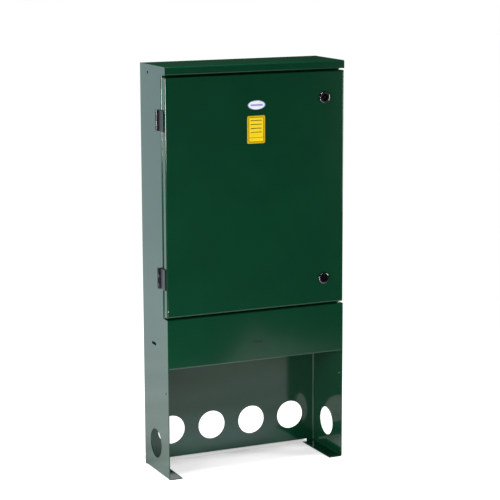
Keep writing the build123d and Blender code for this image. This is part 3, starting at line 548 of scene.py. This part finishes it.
# %% Frame of the label
frame_outer, frame_inner, frame_corner = 5.0 * MM, 6.2 * MM, 8 * MM
frame_proud = ink_thickness - ink_sunk
frame_inset = np.array([[frame_outer], [frame_outer], [frame_inner], [frame_inner]])
frame_rise = vinyl_thickness + np.array([[-ink_sunk], [frame_proud], [frame_proud], [-ink_sunk]])
ring_x, ring_z = rounded_rectangle(label_half_width - frame_inset, label_half_height - frame_inset,
                                   frame_corner - frame_inset, around=64)
label_frame = surface("label_frame", label_middle.x + ring_x, door_front - frame_rise,
                      label_middle.z + ring_z, ring=True)
label_frame.data.materials.append(dark_ink)
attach(label_frame, "door")

# %% [markdown]
# The earth studs are threaded rods. A thread is a radius that rises and falls along the rod while it turns:
# the phase is the distance along in pitches less the turn in whole turns, so the crest climbs one pitch a
# turn. The last two pitches at the free end taper, as a rolled thread does. A Screw modifier could wind a
# profile into a thread too, but one formula for the radius gives the taper as well.

# %% Threaded earth studs
thread_pitch, thread_depth, end_taper = 1.25 * MM, 0.7 * MM, 0.2


def threaded_rod(node, axis, forward, body):
    """Rod in the box of a plain CAD stud, along axis 0, 1 or 2: radius = outer radius less the thread depth
    times the triangle wave of (distance / pitch - turn), tapered over two pitches at the free end."""
    low, high = (np.array(corner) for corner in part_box(node))
    side, up = (axis + 1) % 3, (axis + 2) % 3
    length, radius = high[axis] - low[axis], (high[up] - low[up]) / 2
    along = np.linspace(0, length, int(length / thread_pitch * 8))[:, None]
    turn = np.arange(48)[None, :] / 48
    phase = along / thread_pitch - turn
    groove = np.abs(2 * (phase - np.floor(phase)) - 1)
    into_taper = (along - length + 2 * thread_pitch) / (2 * thread_pitch)
    size = (radius - thread_depth * groove) * np.clip(1 - end_taper * into_taper, 1 - end_taper, 1)
    middle = (low + high) / 2
    points = [0, 0, 0]
    points[axis] = low[axis] + along if forward else high[axis] - along
    points[side] = middle[side] + size * np.cos(2 * np.pi * turn)
    points[up] = middle[up] + size * np.sin(2 * np.pi * turn)
    rod = surface(f"threaded_{node}", *points)
    rod.data.materials.append(brass)
    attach(rod, body)
    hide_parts(node)


threaded_rod("cabinet_earth_stud", 0, False, "cabinet")
threaded_rod("door_earth_stud", 1, True, "door")

# %% [markdown]
# Now the studio. The camera stands where the photographer stood: about five metres in front and to the left,
# a little above the cabinet, with a long lens that keeps the upright edges nearly parallel. Place and lens
# come from matching the cabinet's corners, whose real places are known, to where a photograph shows them.

# %% Camera
scene = bpy.context.scene
scene.view_settings.view_transform = "Standard"
lens = bpy.data.cameras.new("photo_camera")
lens.sensor_width = 36.0
lens.lens = 129.1
camera = bpy.data.objects.new("photo_camera", lens)
camera.location = (-2.2867, -5.0377, 1.722)
looks_at = Vector((-0.0235, -0.1025, 0.7029))
tilt = Quaternion((0, 0, 1), -0.0031)
camera.rotation_euler = ((looks_at - camera.location).to_track_quat("-Z", "Y") @ tilt).to_euler()
scene.collection.objects.link(camera)
scene.camera = camera
print("camera distance in metres:", round((looks_at - camera.location).length, 2))

# %% [markdown]
# Gloss paint shows the room as much as its own colour, so each lamp is placed for what the paint mirrors.
# A lamp is described here by its brightness as seen in a mirror. An area lamp of power P and area A looks
# P / (pi A) bright, and the helper turns that round.

# %% Lamps
def softbox(name, width, height, place, aim, brightness):
    """Area lamp of that size at a place, turned to face the aim. Power is pi x area x brightness."""
    lamp = bpy.data.lights.new(name, "AREA")
    lamp.shape = "RECTANGLE"
    lamp.size, lamp.size_y = width, height
    lamp.energy = np.pi * width * height * brightness
    box = bpy.data.objects.new(name, lamp)
    box.location = place
    box.rotation_euler = (Vector(aim) - Vector(place)).to_track_quat("-Z", "Y").to_euler()
    box.visible_camera = False
    scene.collection.objects.link(box)
    print(name, "power in watts:", round(lamp.energy, 1))


# The key stands left of the camera; its lower edge is what ends the bright line down the door's left fold.
softbox("key_softbox", 1.1, 0.4, (-2.45, -1.25, 0.88), (0.0, 0.0, 0.88), 30.0)
# A strip on the floor lights the front from below, so the paint grows lighter towards the ground.
softbox("floor_strip", 1.0, 0.2, (-1.0, -1.1, 0.1), (-0.3, 0.0, 0.6), 10.0)
# A lamp on the right lifts the right half of the door.
softbox("right_softbox", 0.45, 0.8, (1.7, -0.9, 0.95), (0.0, 0.0, 0.85), 16.0)
# A lamp close above lights the roof. It hangs left of the middle, where no bend mirrors it to the camera.
softbox("overhead_softbox", 1.0, 0.9, (-0.36, 0.15, 2.45), (-0.15, 0.05, 1.2), 15.7)

# %% [markdown]
# The floor is a sheet of white paper, wide behind the cabinet and short in front of it. Its front edge runs
# at a slant with a step in it, and the paint of the lower panel shows that edge as a pale patch.

# %% Paper sheet
edge = np.array([(-2.2, -1.22), (0.40, -1.28), (0.58, -1.55), (0.86, -1.98), (0.81, -1.72), (0.93, -1.65),
                 (8.0, -1.45), (14.0, 30.0), (-22.0, 30.0), (-2.2, 0.8)])
paper_mesh = bpy.data.meshes.new("paper_floor")
corners = np.column_stack([edge, np.zeros(len(edge))])
paper_mesh.from_pydata(corners.tolist(), [], [list(range(len(edge)))])
paper = bpy.data.objects.new("paper_floor", paper_mesh)
scene.collection.objects.link(paper)
print("paper corners:", len(edge))

# %% [markdown]
# The paper's colour carries painted shade. From the back sheet on, except far on the left, it is half as
# bright: a painted shadow under the back of the cabinet, which also keeps the light that bounces off the
# paper from filling the open root with a flat glow. Well to the right it is grey, a painted falloff of the
# light.
# In a Map Range node, input 0 is what is measured, 1 and 2 are where the change starts and ends, and 3 and 4
# are the levels there, which are 0 and 1 if nothing else is said.

# %% Paper colour
def bare_tree(owner):
    """The node tree of a material or a world, emptied."""
    owner.use_nodes = True
    owner.node_tree.nodes.clear()
    return owner.node_tree


sheet_paper = bpy.data.materials.new("white_background_paper")
paper_mesh.materials.append(sheet_paper)
tree = bare_tree(sheet_paper)
place = add(tree, "ShaderNodeTexCoord").outputs["Object"]
across = add(tree, "ShaderNodeSeparateXYZ", {0: place})
x, y = across.outputs[0], across.outputs[1]
# Painted falloff: the paper turns grey well to the right.
painted_falloff = add(tree, "ShaderNodeMapRange", {0: x, 1: 0.62, 2: 1.0})
tone = add(tree, "ShaderNodeMix", {0: painted_falloff.outputs[0], 6: linear("#f0f0f0"), 7: linear("#5c5c5c")},
           data_type="RGBA")
# Painted shadow: the paper is half as bright from the back sheet on, except far on the left.
rear = add(tree, "ShaderNodeMapRange", {0: y, 1: 0.06, 2: 0.11, 4: 0.5})
rightward = add(tree, "ShaderNodeMapRange", {0: x, 1: -0.45, 2: -0.25})
painted_rear_shade = add(tree, "ShaderNodeMath", {0: rear.outputs[0], 1: rightward.outputs[0]}, operation="MULTIPLY")
shade_dimmed_tone = add(tree, "ShaderNodeMix", {0: painted_rear_shade.outputs[0], 6: tone.outputs[2], 7: (0, 0, 0, 1)},
             data_type="RGBA")
matt = add(tree, "ShaderNodeBsdfDiffuse", {"Color": shade_dimmed_tone.outputs[2]})
print("paper colour nodes:", len(tree.nodes))

# %% [markdown]
# Lit paper alone comes out as a pale grey. A light of its own makes up, for the camera, what the lamps leave
# short of white. It is whole all round the cabinet. Under it, it falls off from the front to the back
# sheet, so the shadow that the lamps cast stays, and the falloff adds a painted shade, deepest at the rear.

# %% White for the camera
ahead = add(tree, "ShaderNodeMapRange", {0: y, 1: -0.12, 2: -0.03, 3: 1.0, 4: 0.56})
# Painted shade: under the cabinet the camera's white is taken back towards the back sheet.
shade = add(tree, "ShaderNodeMapRange", {0: y, 1: 0.03, 2: 0.14, 3: 0.0, 4: 0.38})
under = add(tree, "ShaderNodeMath", {0: ahead.outputs[0], 1: shade.outputs[0]}, operation="SUBTRACT")
behind = add(tree, "ShaderNodeMapRange", {0: y, 1: 0.145, 2: 0.18})
aside = add(tree, "ShaderNodeMath", {0: x}, operation="ABSOLUTE")
beside = add(tree, "ShaderNodeMapRange", {0: aside.outputs[0], 1: 0.26, 2: 0.29})
around = add(tree, "ShaderNodeMath", {0: behind.outputs[0], 1: beside.outputs[0]}, operation="MAXIMUM")
for_camera = add(tree, "ShaderNodeMath", {0: under.outputs[0], 1: around.outputs[0]}, operation="MAXIMUM")
print("nodes with the camera's white:", len(tree.nodes))

# %% [markdown]
# The gloss paint mirrors the paper too. The paper gets a glow that only gloss sees, a painted reflection
# that sets how bright the paint mirrors it. It is brightest far on the left, which the left wall mirrors. It
# is bright again inside the root, on an apron in front of the cabinet and at the tip of the front edge. Faint
# painted streaks in that glow, like creases in the paper and strongest near the cabinet, keep the mirrored
# paper from looking like a flat sheet of light.

# %% Paper in the gloss
streak_length, streak_width = 520.8 * MM, 156.25 * MM
# Painted reflection: from here on, the brightness that gloss sees of the paper is set place by place.
far = add(tree, "ShaderNodeVectorMath", {0: place}, operation="LENGTH")
leftward = add(tree, "ShaderNodeMapRange", {0: x, 1: -0.1, 2: -1.2, 4: 1.13})
inside = add(tree, "ShaderNodeMapRange", {0: far.outputs["Value"], 1: 0.12, 2: 0.45, 3: 0.9, 4: 0.0})
deep = add(tree, "ShaderNodeMapRange", {0: y, 1: 0.0, 2: 0.1, 3: 1.0, 4: 0.1})
root = add(tree, "ShaderNodeMath", {0: inside.outputs[0], 1: deep.outputs[0]}, operation="MULTIPLY")
from_apron = add(tree, "ShaderNodeMath", {0: y, 1: 0.3}, operation="ADD")
off_apron = add(tree, "ShaderNodeMath", {0: from_apron.outputs[0]}, operation="ABSOLUTE")
apron = add(tree, "ShaderNodeMapRange", {0: off_apron.outputs[0], 1: 0.0, 2: 0.45, 3: 0.35, 4: 0.0})
tip = add(tree, "ShaderNodeMapRange", {0: y, 1: -1.45, 2: -1.7, 4: 0.14})
near = add(tree, "ShaderNodeMath", {0: root.outputs[0], 1: apron.outputs[0]}, operation="ADD")
fronts = add(tree, "ShaderNodeMath", {0: near.outputs[0], 1: tip.outputs[0]}, operation="ADD")
sides = add(tree, "ShaderNodeMath", {0: leftward.outputs[0], 1: fronts.outputs[0]}, operation="MAXIMUM")
ripple = add(tree, "ShaderNodeMapping", {"Vector": place, "Scale": (1 / streak_length, 1 / streak_width, 1)})
streak_noise = add(tree, "ShaderNodeTexNoise", {"Vector": ripple.outputs[0], "Scale": 1.0, "Detail": 2.0})
# Painted streaks in the reflected paper.
painted_streak = add(tree, "ShaderNodeMapRange", {0: streak_noise.outputs[0], 1: 0.35, 2: 0.65, 3: -0.06, 4: 0.06})
nearer = add(tree, "ShaderNodeMapRange", {0: far.outputs["Value"], 1: 0.5, 2: 2.0, 3: 2.6, 4: 0.6})
uneven = add(tree, "ShaderNodeMath", {0: painted_streak.outputs[0], 1: nearer.outputs[0]}, operation="MULTIPLY")
painted_reflection_glow = add(tree, "ShaderNodeMath", {0: sides.outputs[0], 1: uneven.outputs[0]}, operation="ADD")
print("nodes with the gloss:", len(tree.nodes))

# %% [markdown]
# Light Path tells the two apart: a ray that comes straight from the camera, or one that a glossy or clear
# surface has sent on. Each gets its own light, on top of the matt paper that the lamps light. The light for
# gloss is the painted reflection, and it is tinted pale blue.

# %% Paper finish
path = add(tree, "ShaderNodeLightPath")
seen = add(tree, "ShaderNodeMath", {0: for_camera.outputs[0], 1: path.outputs["Is Camera Ray"]},
           operation="MULTIPLY")
mirrors = add(tree, "ShaderNodeMath",
              {0: path.outputs["Is Glossy Ray"], 1: path.outputs["Is Transmission Ray"]}, operation="MAXIMUM")
mirrored = add(tree, "ShaderNodeMath", {0: painted_reflection_glow.outputs[0], 1: mirrors.outputs[0]},
               operation="MULTIPLY")
glow = add(tree, "ShaderNodeMath", {0: seen.outputs[0], 1: mirrored.outputs[0]}, operation="ADD")
# Painted reflection colour: what gloss sees of the paper is pale blue.
tint = add(tree, "ShaderNodeMix", {0: mirrors.outputs[0], 6: (1, 1, 1, 1), 7: linear("#dff3ff")},
           data_type="RGBA")
lift = add(tree, "ShaderNodeEmission", {"Color": tint.outputs[2], "Strength": glow.outputs[0]})
both = add(tree, "ShaderNodeAddShader", {0: matt.outputs[0], 1: lift.outputs[0]})
add(tree, "ShaderNodeOutputMaterial", {"Surface": both.outputs[0]})
print("paper nodes in all:", len(tree.nodes))

# %% [markdown]
# Two cards stand out of the picture, and only gloss shows them. The first is a dim flat at the front right.
# The door mirrors it, so the paint grows a little paler towards its right edge. Its brightness fades out
# towards its left side and its foot, which leaves no hard line in the gloss.

# %% Dim flat
def gloss_card(name, finish_name, left, right, y, height):
    """Upright card on the floor that only gloss shows. Gives the emptied node tree of its finish."""
    mesh = bpy.data.meshes.new(name)
    corners = [(left, y, 0.0), (right, y, 0.0), (right, y, height), (left, y, height)]
    mesh.from_pydata(corners, [], [[0, 1, 2, 3]])
    card = bpy.data.objects.new(name, mesh)
    card.visible_camera = card.visible_shadow = card.visible_diffuse = False
    scene.collection.objects.link(card)
    finish = bpy.data.materials.new(finish_name)
    mesh.materials.append(finish)
    print(name, "width and height:", round(right - left, 2), height)
    return bare_tree(finish)


tree = gloss_card("right_flat", "grey_cloth_flat", 1.3, 4.3, -3.2, 2.0)
place = add(tree, "ShaderNodeTexCoord").outputs["Object"]
across = add(tree, "ShaderNodeSeparateXYZ", {0: place})
fade = add(tree, "ShaderNodeMapRange", {0: across.outputs[0], 1: 1.8, 2: 2.06, 4: 0.32},
           interpolation_type="SMOOTHSTEP")
upward = add(tree, "ShaderNodeMapRange", {0: across.outputs[2], 1: 0.0, 2: 0.7, 3: 0.15, 4: 1.0})
level = add(tree, "ShaderNodeMath", {0: fade.outputs[0], 1: upward.outputs[0]}, operation="MULTIPLY")
cloth = add(tree, "ShaderNodeEmission", {"Color": (1, 1, 1, 1), "Strength": level.outputs[0]})
add(tree, "ShaderNodeOutputMaterial", {"Surface": cloth.outputs[0]})

# %% [markdown]
# The second is a low white card behind on the right. The top of the left foot mirrors it through the cable
# holes, which is why that foot looks pale in such a photograph.

# %% Low white card
tree = gloss_card("low_card", "white_card", 0.2, 2.6, 2.5, 1.15)
shine = add(tree, "ShaderNodeEmission", {"Color": (1, 1, 1, 1), "Strength": 1.0})
add(tree, "ShaderNodeOutputMaterial", {"Surface": shine.outputs[0]})

# %% [markdown]
# The rest of the room is dark above the paper, which keeps the roof and the door deep green. The camera
# itself sees plain white behind the cabinet, and soft light from all round fills the shadows.

# %% Room
fill_light, dark_room = 0.22, 0.012
room = bpy.data.worlds.new("studio_room")
scene.world = room
tree = bare_tree(room)
path = add(tree, "ShaderNodeLightPath")
dark = add(tree, "ShaderNodeMix", {0: path.outputs["Is Glossy Ray"], 2: fill_light, 3: dark_room})
clear = add(tree, "ShaderNodeMath",
            {0: path.outputs["Is Camera Ray"], 1: path.outputs["Is Transmission Ray"]}, operation="MAXIMUM")
level = add(tree, "ShaderNodeMix", {0: clear.outputs[0], 2: dark.outputs[0], 3: 1.0})
sky = add(tree, "ShaderNodeBackground", {"Color": (1, 1, 1, 1), "Strength": level.outputs[0]})
add(tree, "ShaderNodeOutputWorld", {"Surface": sky.outputs[0]})
print("room light for shadows:", fill_light)
